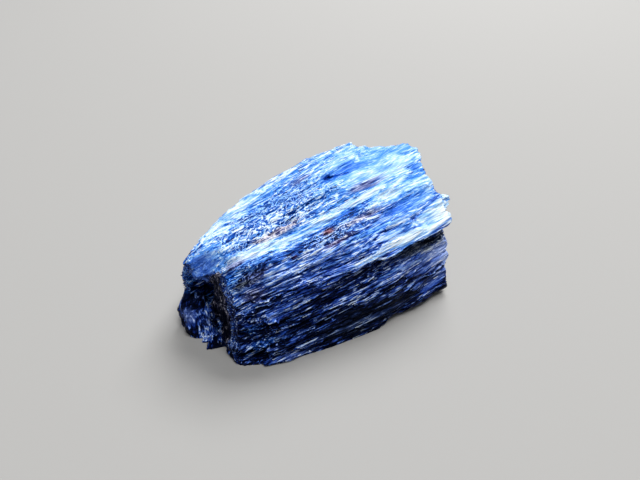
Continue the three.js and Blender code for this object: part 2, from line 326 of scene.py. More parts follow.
# %% Remesh the skin
def remeshed_skin():
    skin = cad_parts["dumortierite_cluster"].data.copy()
    move_points(skin, points_of(skin) / MM * (SQUEEZE, 1, 1))
    item = add_object("skin", skin)
    weld = item.modifiers.new("weld", "WELD")
    weld.merge_threshold = WELD_GAP
    remesh = item.modifiers.new("remesh", "REMESH")
    remesh.mode = "VOXEL"
    remesh.voxel_size = FACE_WIDTH
    fine = frozen(item, "fibrous_mass")
    bpy.data.objects.remove(item)
    move_points(fine, points_of(fine) / (SQUEEZE, 1, 1))
    return fine


def plain_sole(mesh):
    """Replaces the small faces of the flat underside by a few large ones, and counts the edges left open."""
    shell = bmesh.new()
    shell.from_mesh(mesh)
    flat = [face for face in shell.faces if all(vert.co.z < FACE_WIDTH for vert in face.verts)]
    bmesh.ops.delete(shell, geom=flat, context="FACES")
    rim = [edge for edge in shell.edges if edge.is_boundary]
    for vert in {vert for edge in rim for vert in edge.verts}:
        vert.co.z = 0
    bmesh.ops.triangle_fill(shell, edges=rim, use_beauty=True, normal=(0, 0, -1))
    bmesh.ops.recalc_face_normals(shell, faces=shell.faces)
    shell.to_mesh(mesh)
    open_edges = sum(not edge.is_manifold for edge in shell.edges)
    shell.free()
    return open_edges


# the edge above the weathered strip is worn off: from one Y to another, nothing stands above a plane
WORN = {"point": (-6.66, -0.6, 4.22), "normal": (-0.62, -0.15, 0.77), "from": -1.3, "to": 0.5, "fade": 0.4}


def worn_edge(points):
    """The points, with those above the plane brought down to it."""
    normal = np.array(WORN["normal"]) / np.linalg.norm(WORN["normal"])
    above = np.maximum((points - WORN["point"]) @ normal, 0)
    y = points[:, 1]
    share = smooth_step(y, WORN["from"], WORN["from"] + WORN["fade"])
    share *= 1 - smooth_step(y, WORN["to"] - WORN["fade"], WORN["to"])
    share *= points[:, 0] < THIN_SIDE
    return points - (above * share)[:, None] * normal


mass_mesh = remeshed_skin()
move_points(mass_mesh, worn_edge(points_of(mass_mesh)))
print("open edges after the sole is closed:", plain_sole(mass_mesh))
print("the skin has", triangles_in(mass_mesh), "triangles")

# %% [markdown]
# ## Places that differ
# No two parts of a natural thing look the same. Iron and weathering stain a few places, bruised fibres
# go white, pure crystal shows clear azure, and in some places the fibres are pressed flat or matted.
# Other places are painted: light where highlights fall on the rims, edges, lip and the ledge under it,
# and deep shade under the lip, in hollows, along the foot, in cracks and in the cavity.
# One table lists them all. Each is a mask from 0 to 1 with frayed edges, drawn in the straightened
# coordinates, so that it runs along the fibres by itself.

# %% The table of places
# of each place: X, Y and Z of its middle, half its length along the fibres, half its width, its strength
PLACES = {
    # fibres pressed flat
    "calm": [
        # along the lip and the front edge of the top
        (5.4, -3.2, 4.6, 4.2, 0.75, 1.0), (4.4, -2.4, 5.1, 2.4, 0.5, 0.8),
        (5.8, -1.2, 5.6, 2.4, 1.0, 0.9),
        # the far corner of the top, the far rim, the end of the slab, the lobe
        (5.0, 1.6, 5.8, 4.0, 2.6, 1.0), (-3.6, 2.7, 4.6, 4.0, 0.6, 0.8),
        (-7.0, -0.1, 4.4, 1.2, 1.0, 1.0), (-8.0, 0.3, 1.2, 0.8, 1.2, 0.7),
        # the ledge under the lip, the foot of the front
        (5.6, -4.0, 2.4, 2.4, 0.7, 0.8), (3.0, -4.5, 1.3, 4.0, 0.8, 0.6),
    ],
    # fibres matted like felt
    "felt": [
        # the low half of the top, two patches beside the white band, two along the front edge
        (-3.4, 0.7, 5.0, 4.2, 2.1, 1.0), (1.0, 0.9, 5.4, 2.2, 1.0, 0.8),
        (1.6, -1.2, 5.2, 1.8, 0.6, 0.8), (-0.6, -1.9, 4.95, 2.0, 0.55, 1.0),
        (-5.8, -1.9, 4.35, 1.1, 0.6, 1.0),
    ],
    # bruised fibres, and painted highlights on the far rim, the edge of the slab, the lip and thin edges
    "white": [
        # the long band on the top, from the thin end to the thick one
        (-4.6, -0.95, 4.86, 1.5, 0.26, 1.0), (-3.0, -1.1, 4.95, 1.8, 0.28, 1.0),
        (-2.3, -0.65, 5.1, 0.9, 0.2, 0.5), (-0.6, -0.9, 5.2, 2.4, 0.28, 1.0),
        (1.9, -0.55, 5.4, 1.8, 0.24, 1.0), (2.5, -1.25, 5.3, 0.5, 0.16, 0.9),
        (4.2, -1.0, 5.5, 2.0, 0.3, 0.9), (6.0, -1.3, 5.6, 1.6, 0.45, 0.8),
        # the far corner of the top
        (5.4, 0.8, 5.9, 2.2, 0.7, 1.0), (4.4, 2.0, 5.8, 3.4, 1.6, 0.35),
        (4.9, 4.0, 5.6, 1.2, 0.3, 0.9), (3.4, 3.0, 5.7, 2.4, 0.8, 0.5),
        # painted highlights along the far rim and the edge of the slab
        (-5.6, 1.5, 4.6, 1.0, 0.35, 0.9), (-4.5, 2.2, 4.7, 1.2, 0.35, 0.9),
        (-3.3, 2.8, 4.9, 1.2, 0.3, 0.8), (-1.4, 3.5, 5.0, 1.6, 0.3, 0.6),
        (-6.7, -0.4, 4.3, 0.3, 0.14, 0.7),
        # the lip and the slope above it: bruised fibres and a painted highlight
        (6.2, -3.0, 4.7, 2.6, 0.6, 1.0), (7.2, -2.3, 4.6, 1.4, 0.5, 1.0),
        (3.2, -3.6, 4.45, 2.6, 0.32, 1.0), (3.6, -3.95, 4.15, 2.6, 0.16, 0.8),
        (0.6, -3.7, 4.2, 3.0, 0.16, 0.8), (3.6, -2.5, 5.1, 2.4, 0.42, 0.5),
        (0.4, -3.1, 4.6, 1.6, 0.34, 0.35), (2.6, -3.1, 4.8, 1.5, 0.26, 0.6),
        # painted glints on thin edges of the ledge under the lip
        (1.9, -4.0, 2.85, 0.7, 0.07, 1.0), (3.9, -4.1, 2.85, 1.3, 0.06, 1.0),
        (0.9, -4.3, 2.55, 0.4, 0.07, 1.0),
    ],
    # worn fibres, and painted light on the ledge under the lip
    "pale": [
        # painted light on the ledge under the lip
        (3.2, -4.1, 2.6, 2.2, 0.36, 0.45), (6.0, -3.8, 2.6, 1.6, 0.8, 1.0),
        (5.2, -4.4, 1.4, 1.8, 0.34, 0.45), (4.4, -3.7, 3.3, 2.0, 0.14, 0.7),
        (4.8, -3.5, 3.35, 2.8, 0.32, 0.45),
        # flakes at the foot, the end of the slab, the lobe
        (-4.2, -4.3, 0.25, 1.0, 0.3, 0.45), (-5.1, -3.75, 1.05, 0.8, 0.18, 0.4),
        (-7.0, -0.1, 4.2, 0.9, 0.8, 0.35), (-8.0, 0.25, 1.1, 0.4, 0.42, 0.8),
        (-7.1, -0.3, 0.7, 0.3, 0.2, 0.5), (-7.2, 0.6, 1.65, 0.3, 0.14, 0.5),
    ],
    # clear crystal
    "azure": [
        # streaks on the top
        (0.8, -2.65, 4.95, 2.2, 0.2, 1.0), (3.9, -2.1, 5.17, 1.2, 0.24, 1.0),
        (3.2, 1.9, 5.74, 1.2, 0.34, 1.0), (4.2, 1.9, 5.82, 1.0, 0.28, 0.8),
        (6.8, 0.2, 5.8, 0.5, 0.22, 0.9), (0.6, -1.2, 5.15, 1.6, 0.28, 0.7),
        (-2.2, 1.6, 5.2, 1.6, 0.45, 0.7), (-3.4, 1.2, 5.0, 1.4, 0.4, 0.6),
        (-6.3, -1.7, 4.3, 0.6, 0.28, 0.7),
        # the foot of the front, the end of the slab, the root of the lobe
        (-5.9, -3.0, 2.0, 0.8, 0.3, 0.6), (-5.3, -3.55, 1.2, 1.3, 0.35, 0.5),
        (-7.2, 0.1, 4.1, 0.7, 0.6, 0.9), (-7.45, 1.0, 3.2, 0.5, 0.7, 0.9),
        (-7.6, 1.1, 2.0, 0.3, 0.3, 0.9),
    ],
    # iron stain
    "rust": [
        (-0.65, -1.55, 5.05, 0.45, 0.17, 1.0), (-3.23, -2.27, 4.84, 0.14, 0.09, 0.9),
        (-0.9, -2.44, 4.85, 0.4, 0.09, 0.35),
    ],
    # fibres weathered brown, violet-grey and slate-grey
    "earth": [
        (-2.9, -0.45, 5.1, 1.3, 0.24, 0.8), (1.4, -1.7, 5.15, 1.5, 0.2, 0.6),
        (-0.8, -2.4, 4.85, 1.0, 0.14, 0.5),
    ],
    "violet": [
        (-5.4, -2.1, 4.4, 0.9, 0.34, 0.7), (-6.0, -1.2, 4.6, 0.5, 0.26, 0.9),
        (-5.7, -2.6, 3.8, 0.7, 0.34, 0.8), (3.0, 0.15, 5.7, 1.3, 0.26, 0.9),
        (0.4, 2.7, 5.45, 0.8, 0.24, 0.7),
    ],
    "slate": [
        (0.0, -4.6, 1.0, 3.0, 0.8, 0.7), (-5.9, -2.05, 4.2, 0.4, 0.14, 0.8),
        (4.8, -3.5, 3.35, 2.8, 0.32, 0.9),
    ],
    # deep shade
    "dark": [
        # under the lip, and in the hollows of the front
        (-1.5, -3.75, 3.3, 2.8, 0.42, 0.5), (2.0, -3.5, 3.7, 3.0, 0.2, 0.8),
        (-5.4, -3.0, 3.15, 1.8, 0.3, 0.7), (-3.4, -3.8, 2.6, 3.0, 0.42, 0.5),
        (0.6, -4.4, 2.3, 1.4, 0.3, 0.3),
        # along the foot
        (-5.8, -3.4, 0.4, 0.8, 0.4, 0.5), (-2.2, -4.4, 1.1, 2.2, 0.4, 0.4),
        (-6.2, -2.9, 0.6, 0.9, 0.3, 0.9), (-7.1, -1.5, 0.2, 0.5, 0.4, 0.7),
        # the crack in the top, and darker streaks beside the white band
        (2.0, 1.85, 5.6, 1.2, 0.05, 0.6), (1.3, -1.1, 5.2, 1.1, 0.26, 0.3),
        (-5.4, -1.8, 4.6, 1.2, 0.45, 0.3), (-5.9, -1.55, 4.65, 0.5, 0.05, 0.6),
        (-2.4, -1.95, 4.9, 2.4, 0.26, 0.3),
        # the cavity, the crevice and the snapped face of the thin end
        (-6.9, 0.75, 1.9, 1.1, 0.75, 1.0), (-6.5, -0.55, 0.7, 0.5, 0.42, 1.0),
        (-6.6, -2.3, 2.9, 0.3, 0.5, 0.5), (-6.6, -2.6, 1.5, 0.3, 0.5, 0.5),
    ],
}
FADE = (0.5, 1.5)  # a place fades between half its size and half as much again
FRAY = {"size": (0.9, 0.12, 0.12), "height": 0.55, "seed": 90}


def share_of(kind, points, course):
    """How far each point belongs to the places of that kind, from 0 to 1."""
    total = np.zeros(len(points))
    fray = waves(course, FRAY)
    for *middle, length, width, strength in PLACES[kind]:
        offset = straight_course(points) - straight_course(np.array([middle]))
        away = np.linalg.norm(offset / (length, width, width), axis=1) + fray
        total = np.maximum(total, strength * (1 - smooth_step(away, *FADE)))
    return total


skin_points = points_of(mass_mesh)
skin_normals = normals_of(mass_mesh)
skin_course = wavy_course(skin_points)
shares = {kind: share_of(kind, skin_points, skin_course) for kind in PLACES}
calm_share = shares["calm"]
felt_share = shares["felt"] * (1 - calm_share)
for kind, places in PLACES.items():
    print(kind, "is", round(100 * shares[kind].mean(), 1), "% of the skin, in", len(places), "places")

# %% [markdown]
# ## Ridges, steps and broken ends
# Split fibrous crystal shows slabs that stand proud or are torn away, bundles on the slabs, and fibres
# on the bundles. Cells with flat tops make the first two. The fibres are noise folded at zero, which
# gives round backs with sharp valleys between them. Across the ends the same bundles are snapped at
# uneven lengths. Which side a point is on comes from its normal and the direction of the fibres.

# %% Sides and ledges
# cosines between which a face becomes broken end, top, front or underside
SIDES = {"end": (0.62, 0.82), "top": (0.2, 0.7), "front": (-0.1, 0.1), "under": (0.6, 0.9)}
LEDGES = [
    # edges of slabs on the front: X and Z of one end and of the other, and the height of the step.
    # Above each line the slab stands out, and below it the chip is cut back
    (-5.9, 3.35, -3.2, 3.98, 0.16),
    (-5.9, 2.32, -2.4, 3.3, 0.09),
    (-5.9, 1.95, -4.4, 2.62, 0.08),
    (-5.9, 0.95, -4.0, 1.75, 0.14),
    (-4.2, 0.45, -1.6, 1.05, 0.08),
    (0.7, 2.3, 3.4, 2.62, 0.1),
    (2.4, 1.62, 6.4, 1.95, 0.1),
]
LEDGE_WIDTH = 0.28  # mm
LEDGE_ENDS = (0.25, 0.9)  # mm over which a ledge rises at one end and dies away at the other
# what the edge of a ledge adds to the tone, a painted highlight above the line and painted shade below it,
# then where and how wide in ledge widths
EDGE_TONES = [(1.0, 0.1, 0.16), (-0.6, -0.8, 0.6)]
FRONT_TOP = (-2.9, -2.3)  # Y over which the ledges of the front end


def sides_of(points, normals):
    """How much of each point is broken end, top, front and underside, from 0 to 1."""
    end = smooth_step(np.abs(np.sum(fibre_direction(points) * normals, axis=1)), *SIDES["end"])
    top = smooth_step(normals[:, 2], *SIDES["top"])
    front = (1 - top) * smooth_step(-normals[:, 1], *SIDES["front"])
    under = smooth_step(-normals[:, 2], *SIDES["under"])
    return end, top, front, under


def ledges(points):
    """The steps of the ledges, and their edges: a painted highlight just above each line and painted shade
    below it.
    """
    x, y, z = points.T
    height = np.zeros(len(points))
    edge = np.zeros(len(points))
    for x0, z0, x1, z1, step in LEDGES:
        over = (z - z0 - (x - x0) * (z1 - z0) / (x1 - x0)) / LEDGE_WIDTH
        along = smooth_step(x, x0, x0 + LEDGE_ENDS[0]) * (1 - smooth_step(x, x1 - LEDGE_ENDS[1], x1))
        height += step * np.sign(over) * np.exp(-np.abs(over)) * along
        for strength, middle, width in EDGE_TONES:
            edge += strength * along * np.exp(-(((over - middle) / width) ** 2))
    on_front = 1 - smooth_step(y, *FRONT_TOP)
    return height * on_front, edge * on_front


end_share, top_share, front_share, under_share = sides_of(skin_points, skin_normals)
ledge_steps, ledge_edges = ledges(skin_points)
print("broken ends are", round(100 * end_share.mean()), "% of the skin;", len(LEDGES), "ledges")

# %% Relief
SLABS = [
    # size along, across and up in mm; how far a cell stands out or in; depth of the groove round it
    {"size": (4.6, 0.62, 0.62), "step": 0.1, "groove": 0.05, "seed": 10},
    {"size": (2.4, 0.27, 0.27), "step": 0.06, "groove": 0.045, "seed": 20},
]
FIBRES = [
    {"size": (2.0, 0.15, 0.15), "height": 0.08, "seed": 30},
    {"size": (0.8, 0.08, 0.08), "height": 0.035, "seed": 31},
]
SNAPPED = [
    {"size": (9.0, 0.42, 0.42), "step": 0.06, "groove": 0.04, "seed": 60},
    {"size": (9.0, 0.17, 0.17), "step": 0.05, "groove": 0.02, "seed": 70},
]
GRIT = {"size": (0.3, 0.09, 0.09), "height": 0.03, "seed": 80}  # of a snapped face
LUMPS = {"size": (0.5, 0.26, 0.26), "height": 0.07, "seed": 35}  # of matted fibres
GROOVE_WIDTH = 0.2  # of a cell
FOLD = 0.6  # taken from twice the folded noise, so that it goes in about as much as out
CALM = {"top": 0.7, "calm": 0.35, "felt": 0.6}  # the relief there, against that of the sides
OFF_SOLE = (0.0, 0.2)  # Z over which the relief starts: nothing moves on the flat underside


def stepped(course, layers):
    """Bundles that stand out or in, with a groove round each."""
    height = np.zeros(len(course))
    for layer in layers:
        own, depth = bundles(course, layer["size"], layer["seed"])
        height += layer["step"] * (2 * own - 1)
        height -= layer["groove"] * (1 - smooth_step(depth, 0, GROOVE_WIDTH))
    return height


def relief(points, course):
    """How far each point of the skin moves out, or in where it is negative."""
    split = stepped(course, SLABS)
    for layer in FIBRES:
        split += layer["height"] * (2 * np.abs(noise(course, layer["size"], layer["seed"])) - FOLD)
    for name, share in (("top", top_share), ("calm", calm_share), ("felt", felt_share)):
        split *= 1 - (1 - CALM[name]) * share
    split += felt_share * waves(course, LUMPS)
    split += ledge_steps * front_share
    snapped = stepped(along_fibres(points), SNAPPED)
    snapped += waves(course, GRIT)
    snapped *= 1 - (1 - CALM["calm"]) * np.maximum(calm_share, points[:, 0] < THIN_SIDE)
    return split * (1 - end_share) + snapped * end_share


skin_relief = relief(skin_points, skin_course) * smooth_step(skin_points[:, 2], *OFF_SOLE)
rough_points = skin_points + skin_normals * skin_relief[:, None]
rough_points[:, 2] = np.maximum(rough_points[:, 2], 0)
move_points(mass_mesh, rough_points)
print("the relief runs from", round(skin_relief.min(), 3), "to", round(skin_relief.max(), 3), "mm")

# %% [markdown]
# ## Colours
# The blue of a fibre runs from almost black to nearly white where its ends are bruised or a highlight
# is painted, so one value, the tone, goes through a ramp of blues. The tone follows the relief, with
# painted shade in the valleys between fibres and painted light on their backs, and swings from bundle
# to bundle. The top is painted lighter and the foot of the front darker, as the light falls on them.
# Other ramps take over in the places of the table. All this is stored on the points of the mesh, where
# the material can read it.

# %% The tone of each point
BASE_TONE = 0.23  # of the front and the sides
SIDE_TONES = {"top": 0.19, "sky": 0.2, "low_front": -0.3, "strip": -0.06}  # added to it: painted light on the top and its sky-blue part, painted shade on the foot of the front, and a darker strip
PLACE_TONES = [("white", 0.87, 1.0), ("pale", 0.58, 1.0), ("azure", 0.45, 0.6)]  # tone there, and its pull
# the tone that the painted deep shade of the dark places pulls to
DARK_TONE = -0.2
STAIN_TONES = {"felt": 0.06, "violet": 0.1, "rust": 0.15}  # taken from it
EDGE_TONE = 0.36  # added along the ledges: their painted highlight and shade
RELIEF_TONE = 1.2  # added for each mm of relief: painted shade in the grooves, painted light on the crests
BANDS = [  # of lighter and darker fibres, with twice the swing on the front
    {"size": (5, 0.8, 0.8), "height": 0.07, "seed": 50},
    {"size": (2.4, 0.24, 0.24), "height": 0.07, "seed": 51},
]
PATCHES = {"size": (0.8, 0.42, 0.42), "height": 0.16, "seed": 52}  # where the fibres are pressed flat
SKY_START = (-3.4, -0.9)  # Y over which the top turns from indigo to sky blue
LOW_FRONT = (1.0, 3.6)  # Z over which the painted shade on the foot of the front ends
WHITE_LIES_FLAT = 0.8  # how far white places, bruised fibres and painted highlights, count as pressed flat,
WHITE_HIDES_FELT = 0.85  # and how much of the felt they hide
# what the material reads
STORED = (
    "tone", "shade", "calm", "felt", "sky", "azure", "pale", "violet", "earth", "slate", "rust", "strip",
)


def tone(heights, course, shares):
    """The tone of each point: what its side and places give it, including painted light and shade, then
    relief, bands and patches.
    """
    value = np.full(len(course), BASE_TONE)
    for name, gain in SIDE_TONES.items():
        value += gain * shares[name]
    for name, goal, pull in PLACE_TONES:
        value += pull * (goal - value) * shares[name]
    value += EDGE_TONE * ledge_edges * front_share
    value += (DARK_TONE - value) * shares["dark"]
    value += RELIEF_TONE * heights
    value += (1 + front_share) * sum(waves(course, band) for band in BANDS)
    value -= sum(loss * shares[name] for name, loss in STAIN_TONES.items())
    value += shares["calm"] * waves(course, PATCHES)
    return value


def store(mesh, name, values):
    """Stores a number or a vector on each point of a mesh."""
    kind, field = ("FLOAT", "value") if values.ndim == 1 else ("FLOAT_VECTOR", "vector")
    attribute = mesh.attributes.get(name) or mesh.attributes.new(name, kind, "POINT")
    attribute.data.foreach_set(field, values.astype(np.float32).ravel())


y, z = skin_points[:, 1], skin_points[:, 2]
shares["calm"] = np.maximum(calm_share, WHITE_LIES_FLAT * shares["white"])
shares["strip"] = on_strip(skin_points).astype(float)
shares["felt"] = np.maximum(felt_share * (1 - WHITE_HIDES_FELT * shares["white"]), shares["strip"])
shares["top"] = top_share
# painted shade on the foot of the front
shares["low_front"] = front_share * (1 - smooth_step(z, *LOW_FRONT))
# the top is sky blue and painted lighter where the light falls, and turns to indigo on the lobe and where it
# rounds over into the front
shares["sky"] = np.maximum(shares["white"], top_share * smooth_step(y, *SKY_START) * ~on_lobe(skin_points))
shares["tone"] = tone(skin_relief, skin_course, shares)
shares["shade"] = np.zeros(len(skin_points))
for name in STORED:
    store(mass_mesh, name, shares[name])
store(mass_mesh, "fibre", skin_course)
print("painted", len(skin_points), "points; their tone is", round(shares["tone"].mean(), 2), "on average")


# %% Hex colours and a function that adds a node
def linear(hex_colour):
    """An sRGB colour such as #2f57b3, as linear light with alpha 1."""
    parts = [int(hex_colour[i : i + 2], 16) / 255 for i in (1, 3, 5)]
    curve = [c / 12.92 if c <= 0.04045 else ((c + 0.055) / 1.055) ** 2.4 for c in parts]
    return (*curve, 1.0)


def add_node(tree, kind, inputs=(), **settings):
    """Adds a node with its settings. Its inputs are given in their order, or by name or number in a dict:
    each is a value, a socket to link, or a node whose first output is linked."""
    node = tree.nodes.new(kind)
    for name, value in settings.items():
        setattr(node, name, value)
    for name, value in inputs.items() if isinstance(inputs, dict) else enumerate(inputs):
        if isinstance(value, bpy.types.Node):
            value = value.outputs[0]
        if isinstance(value, bpy.types.NodeSocket):
            tree.links.new(value, node.inputs[name])
        else:
            node.inputs[name].default_value = value
    return node


print("cobalt blue in linear light:", np.round(linear("#2f57b3")[:3], 3))

# %% Ramps and patterns
INDIGO = [
    (0.0, "#01020e"), (0.2, "#030a36"), (0.4, "#203e9c"),
    (0.6, "#4876d6"), (0.8, "#8eb2f6"), (1.0, "#deeeff"),
]
TINT_RAMPS = {
    "sky": [
        (0.0, "#020820"), (0.2, "#0b2a70"), (0.4, "#1d58c2"),
        (0.6, "#4794ea"), (0.8, "#a6d1f9"), (1.0, "#ecf8ff"),
    ],
    "azure": [(0.0, "#03103a"), (0.5, "#1868dc"), (1.0, "#9ad6ff")],
    "pale": [(0.0, "#0c163a"), (0.35, "#4862a8"), (0.7, "#9fb6ee"), (1.0, "#f0f5ff")],
    "violet": [(0.0, "#0c0e22"), (0.5, "#474a7c"), (1.0, "#b8bfe6")],
    "earth": [(0.0, "#120d12"), (0.5, "#5d4e62"), (1.0, "#f0e2e2")],
    "slate": [(0.0, "#03060a"), (0.5, "#27343f"), (1.0, "#b0bcc4")],
    "rust": [(0.0, "#14060a"), (0.5, "#642424"), (1.0, "#b48c98")],
    "strip": [(0.0, "#010106"), (0.3, "#070a1c"), (0.45, "#1a1d38"), (0.65, "#74748c"), (0.9, "#c8c4d0")],
}
# Lengths and widths in mm. Single crystals are a few thousandths of a millimetre wide, too fine to
# show, so the patterns draw the finest threads that still can be seen.
STREAKS = {"length": 1.3, "width": 0.11, "detail": 3.0, "swing": 0.1}
# the bright dashes and threads are pale fibres, and in part painted sheen and glints of fibres that catch
# the light
DASHES = {"length": 0.55, "width": 0.055, "detail": 1.0, "swing": 0.34}
THREADS = {"length": 1.7, "width": 0.15, "detail": 1.5, "sharp": 0.08, "gain": 0.95, "between": 0.0}
FLECKS = {
    "length": 0.5, "width": 0.3, "detail": 1.0, "wriggle": 1.5, "sharp": 0.1, "gain": 0.52,
    "between": -0.286,
}
print(1 + len(TINT_RAMPS), "ramps of colour")

# %% The material of the fibres
NOISE_ROUGHNESS = 0.6
USUAL = (0.3, 0.7)  # nearly all values of a noise texture lie between these
GAPS = (0.45, 0.6)  # threads are missing where the streaks are below this, and whole above it
# how much of each goes where fibres are pressed flat (calm) or matted (felt)
TAKEN = {
    "long threads": ("calm", 0.8), "straight threads": ("felt", 0.6),
    "streaks": ("calm", 0.4), "bump": ("calm", 0.6),
}
DASH_BUMP = 0.6
BUMP_HEIGHT = 0.03 * MM
BUMP_STRENGTH = 0.8
ROUGHNESS = (0.55, 0.3)  # from dark dashes to bright ones
REFRACTION = 1.68
SHINE = 0.12  # low, because splinters scatter most of it
SHINE_COLOUR = "#6c90ff"
COLOUR_A, COLOUR_B, MIXED = 6, 7, 2  # the sockets of a mix node that carry colours


def fill_ramp(node, stops):
    ramp = node.color_ramp
    for position, colour in stops[1:-1]:
        ramp.elements.new(position).color = linear(colour)
    for element, (position, colour) in ((ramp.elements[0], stops[0]), (ramp.elements[-1], stops[-1])):
        element.position = position
        element.color = linear(colour)


def stretched_noise(tree, fibre, pattern):
    """Noise that is drawn out along the fibres."""
    scale = (1 / pattern["length"], 1 / pattern["width"], 1 / pattern["width"])
    drawn_out = add_node(tree, "ShaderNodeMapping", {"Vector": fibre, "Scale": scale})
    inputs = {
        "Vector": drawn_out, "Scale": 1.0, "Detail": pattern["detail"], "Roughness": NOISE_ROUGHNESS,
        "Distortion": pattern.get("wriggle", 0.0),
    }
    return add_node(tree, "ShaderNodeTexNoise", inputs)


def lines_of(tree, fibre, pattern):
    """Thin lines where a noise passes its middle: they wander along the fibres."""
    texture = stretched_noise(tree, fibre, pattern)
    off_middle = add_node(tree, "ShaderNodeMath", (texture, 0.5), operation="SUBTRACT")
    away = add_node(tree, "ShaderNodeMath", (off_middle,), operation="ABSOLUTE")
    span = (0.0, pattern["sharp"], pattern["gain"], pattern["between"])
    return add_node(tree, "ShaderNodeMapRange", (away, *span), clamp=True)


def fibre_material():
    """Dumortierite split along its fibres: deep blue, silky with fine bright threads that are partly painted
    sheen, with a weak shine.
    """
    material = bpy.data.materials.new("dumortierite_split_along_the_fibres")
    material.use_nodes = True
    tree = material.node_tree
    shader = tree.nodes["Principled BSDF"]
    add = functools.partial(add_node, tree)
    fibre = add("ShaderNodeAttribute", attribute_name="fibre").outputs["Vector"]
    share = {name: add("ShaderNodeAttribute", attribute_name=name).outputs["Fac"] for name in STORED}
    left = {}
    for name, (place, taken) in TAKEN.items():
        left[name] = add("ShaderNodeMath", (share[place], -taken, 1.0), operation="MULTIPLY_ADD")
    orderly = add("ShaderNodeMath", (left["long threads"], left["straight threads"]), operation="MULTIPLY")

    streaks = stretched_noise(tree, fibre, STREAKS)
    dashes = stretched_noise(tree, fibre, DASHES)
    whole = add("ShaderNodeMapRange", (streaks, *GAPS, 0.0, 1.0), clamp=True)
    whole = add("ShaderNodeMath", (whole, orderly), operation="MULTIPLY")
    swings = []
    for texture, swing in ((streaks, STREAKS["swing"]), (dashes, DASHES["swing"])):
        swings.append(add("ShaderNodeMapRange", (texture, *USUAL, -swing, swing), clamp=False))
    parts = []
    for pattern, where in (
        (swings[0], left["streaks"]),
        (swings[1], orderly),
        (lines_of(tree, fibre, THREADS), whole),
        (lines_of(tree, fibre, FLECKS), share["felt"]),  # matted fibres show as short bright flecks
    ):
        parts.append(add("ShaderNodeMath", (pattern, where), operation="MULTIPLY"))
    value = parts[0]
    for part in (*parts[1:], share["tone"], share["shade"]):
        value = add("ShaderNodeMath", (value, part), operation="ADD")

    colour = add("ShaderNodeValToRGB", (value,))
    fill_ramp(colour, INDIGO)
    for tint, stops in TINT_RAMPS.items():
        ramp = add("ShaderNodeValToRGB", (value,))
        fill_ramp(ramp, stops)
        inputs = {"Factor": share[tint], COLOUR_A: colour, COLOUR_B: ramp}
        colour = add("ShaderNodeMix", inputs, data_type="RGBA").outputs[MIXED]

    height = add("ShaderNodeMath", (dashes, DASH_BUMP), operation="MULTIPLY")
    for part in (parts[-1], streaks):
        height = add("ShaderNodeMath", (height, part), operation="ADD")
    height = add("ShaderNodeMath", (height, left["bump"]), operation="MULTIPLY")
    inputs = {"Height": height, "Distance": BUMP_HEIGHT, "Strength": BUMP_STRENGTH}
    bump = add("ShaderNodeBump", inputs)
    roughness = add("ShaderNodeMapRange", (dashes, *USUAL, *ROUGHNESS), clamp=True)
    tree.links.new(colour, shader.inputs["Base Color"])
    tree.links.new(bump.outputs[0], shader.inputs["Normal"])
    tree.links.new(roughness.outputs[0], shader.inputs["Roughness"])
    shader.inputs["IOR"].default_value = REFRACTION
    shader.inputs["Specular IOR Level"].default_value = SHINE
    shader.inputs["Specular Tint"].default_value = linear(SHINE_COLOUR)
    return material


fibre_blue = fibre_material()
print("material", fibre_blue.name)

# %% [markdown]
# ## Loose splinters
# A split face looks silky because thousands of separate fibres lie on it at slightly different angles,
# and each catches the light in its own way. They are one Geometry Nodes tree: scatter points over the
# skin, lay a thin three-sided splinter on each along the stored direction of the fibres, turn it a
# little, and join them all into one mesh. The points take the colours of the skin with them. A
# splinter may not hang over the end of the chip, so each point also knows how much room it has.

